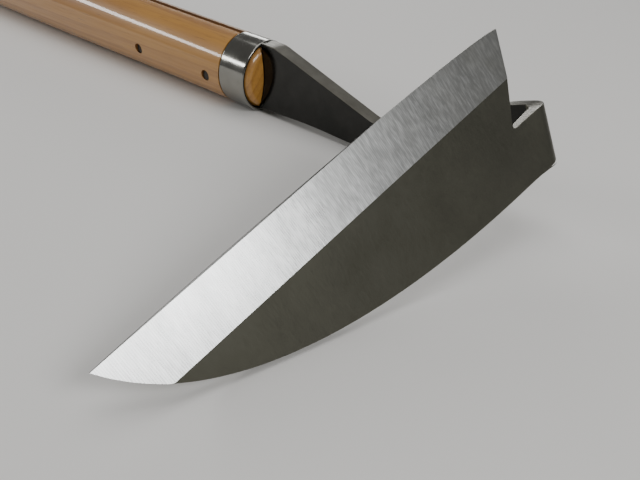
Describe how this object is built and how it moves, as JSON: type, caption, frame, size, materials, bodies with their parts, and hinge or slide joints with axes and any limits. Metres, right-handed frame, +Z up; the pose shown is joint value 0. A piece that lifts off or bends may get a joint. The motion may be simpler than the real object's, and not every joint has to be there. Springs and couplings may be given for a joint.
{
  "type": "folded weeding sickle",
  "caption": "Short hand sickle for weeding: a steel blade folded square to its swooping neck, whose tang is pinned in the saw kerf of a ferruled wooden handle.",
  "frame": {"origin": "middle of the footprint's bounding box, on the bench that the tool lies on", "axes": "+X along the handle's line towards the blade, +Z up with the cutting edge facing up, the blade folded out of the neck towards -Y"},
  "size_m": [0.356, 0.1684, 0.0605],
  "materials": {
    "steel": "satin blade flat, ground bevel, polished neck",
    "wood": "lacquered honey-coloured hardwood",
    "bright_ring": "polished",
    "dark_pin": "dark oxidised, set below the wood"
  },
  "bodies": {
    "root": {"forging": "steel", "handle": "wood", "ferrule": "bright_ring", "front_pin": "dark_pin", "rear_pin": "dark_pin"}
  },
  "joints": []
}
